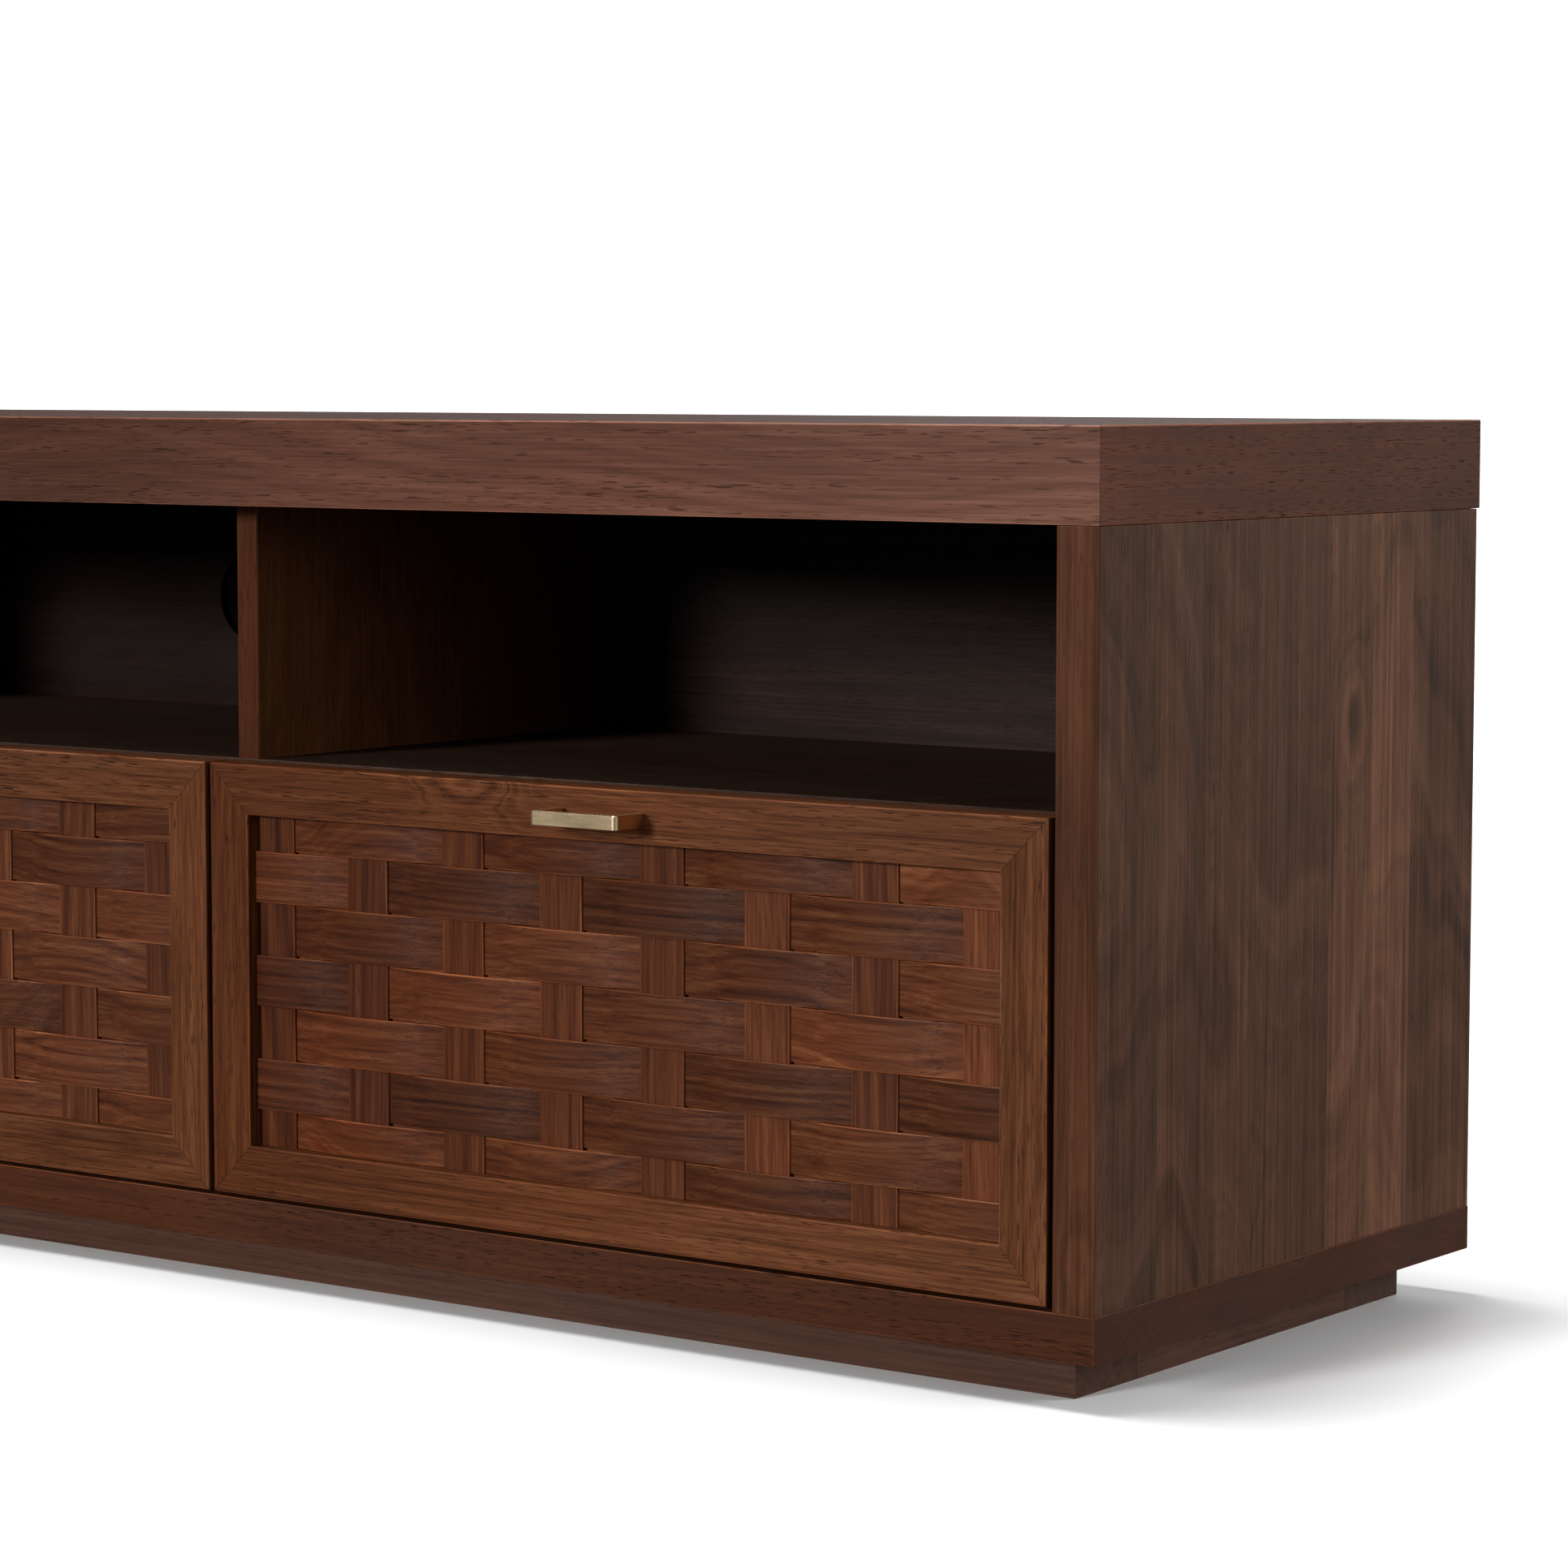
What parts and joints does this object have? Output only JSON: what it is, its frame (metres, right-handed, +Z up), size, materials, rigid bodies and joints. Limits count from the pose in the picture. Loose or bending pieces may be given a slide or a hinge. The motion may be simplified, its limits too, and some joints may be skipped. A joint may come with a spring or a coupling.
{
  "type": "tv stand with doors",
  "caption": "Low walnut television stand with open bays and a rear cable hole above drop-down doors with woven strip fronts and brass pulls, on a set-back plinth.",
  "frame": {"origin": "on the floor under the middle of the whole stand, pulls included", "axes": "+X to the viewer's right along the length, +Y from the front to the back, +Z up"},
  "size_m": [1.79, 0.427, 0.5],
  "materials": {
    "walnut_veneer": "satin walnut veneer on board",
    "side_veneer": "satin walnut veneer on board, upright grain",
    "back_veneer": "matt walnut veneer on thin board",
    "plinth_veneer": "satin walnut veneer on board",
    "door_walnut": "satin lacquered walnut",
    "woven_walnut": "satin lacquered walnut strips",
    "satin_brass": "satin",
    "zinc_steel": "zinc plated",
    "catch_plastic": "matt dark brown"
  },
  "bodies": {
    "carcass": {"top_panel": "walnut_veneer", "top_underboard": "walnut_veneer", "top_front_fascia": "walnut_veneer", "top_left_fascia": "walnut_veneer", "top_right_fascia": "walnut_veneer", "top_back_rail": "walnut_veneer", "left_side_panel": "side_veneer", "right_side_panel": "side_veneer", "base_panel": "walnut_veneer", "shelf_board": "walnut_veneer", "upper_left_divider": "walnut_veneer", "upper_right_divider": "walnut_veneer", "lower_left_divider": "walnut_veneer", "lower_right_divider": "walnut_veneer", "lower_back_panel": "back_veneer", "upper_back_panel": "back_veneer", "plinth_front": "plinth_veneer", "plinth_back": "plinth_veneer", "plinth_left": "plinth_veneer", "plinth_right": "plinth_veneer", "plinth_centre": "plinth_veneer", "left_hinge_rail": "zinc_steel", "left_door_catch": "catch_plastic", "left_stay_stud": "zinc_steel", "middle_hinge_rail": "zinc_steel", "middle_door_catch": "catch_plastic", "middle_stay_stud": "zinc_steel", "right_hinge_rail": "zinc_steel", "right_door_catch": "catch_plastic", "right_stay_stud": "zinc_steel"},
    "left_door": {"left_door_top_rail": "door_walnut", "left_door_bottom_rail": "door_walnut", "left_door_left_stile": "door_walnut", "left_door_right_stile": "door_walnut", "left_door_woven_panel": "woven_walnut", "left_door_handle": "satin_brass", "left_door_left_hinge_leaf": "zinc_steel", "left_door_right_hinge_leaf": "zinc_steel", "left_door_stay_bracket": "zinc_steel"},
    "middle_door": {"middle_door_top_rail": "door_walnut", "middle_door_bottom_rail": "door_walnut", "middle_door_left_stile": "door_walnut", "middle_door_right_stile": "door_walnut", "middle_door_woven_panel": "woven_walnut", "middle_door_handle": "satin_brass", "middle_door_left_hinge_leaf": "zinc_steel", "middle_door_right_hinge_leaf": "zinc_steel", "middle_door_stay_bracket": "zinc_steel"},
    "right_door": {"right_door_top_rail": "door_walnut", "right_door_bottom_rail": "door_walnut", "right_door_left_stile": "door_walnut", "right_door_right_stile": "door_walnut", "right_door_woven_panel": "woven_walnut", "right_door_handle": "satin_brass", "right_door_left_hinge_leaf": "zinc_steel", "right_door_right_hinge_leaf": "zinc_steel", "right_door_stay_bracket": "zinc_steel"},
    "left_stay": {"left_stay_bar": "zinc_steel"},
    "middle_stay": {"middle_stay_bar": "zinc_steel"},
    "right_stay": {"right_stay_bar": "zinc_steel"}
  },
  "joints": [
    {"name": "left_door_hinge", "type": "hinge", "parent": "carcass", "child": "left_door", "pos_m": [-0.5783, -0.1835, 0.06], "axis": [1, 0, 0], "range_deg": [0, 90]},
    {"name": "middle_door_hinge", "type": "hinge", "parent": "carcass", "child": "middle_door", "pos_m": [0, -0.1835, 0.06], "axis": [1, 0, 0], "range_deg": [0, 90]},
    {"name": "right_door_hinge", "type": "hinge", "parent": "carcass", "child": "right_door", "pos_m": [0.5783, -0.1835, 0.06], "axis": [1, 0, 0], "range_deg": [0, 90]},
    {"name": "left_stay_pivot", "type": "hinge", "parent": "left_door", "child": "left_stay", "pos_m": [-0.3083, -0.1615, 0.1421], "axis": [1, 0, 0], "range_deg": [-45, 0]},
    {"name": "middle_stay_pivot", "type": "hinge", "parent": "middle_door", "child": "middle_stay", "pos_m": [0.27, -0.1615, 0.1421], "axis": [1, 0, 0], "range_deg": [-45, 0]},
    {"name": "right_stay_pivot", "type": "hinge", "parent": "right_door", "child": "right_stay", "pos_m": [0.8483, -0.1615, 0.1421], "axis": [1, 0, 0], "range_deg": [-45, 0]}
  ],
  "couplings": [
    {"joint": "left_stay_pivot", "follows": "left_door_hinge", "ratio": -0.5},
    {"joint": "middle_stay_pivot", "follows": "middle_door_hinge", "ratio": -0.5},
    {"joint": "right_stay_pivot", "follows": "right_door_hinge", "ratio": -0.5}
  ]
}
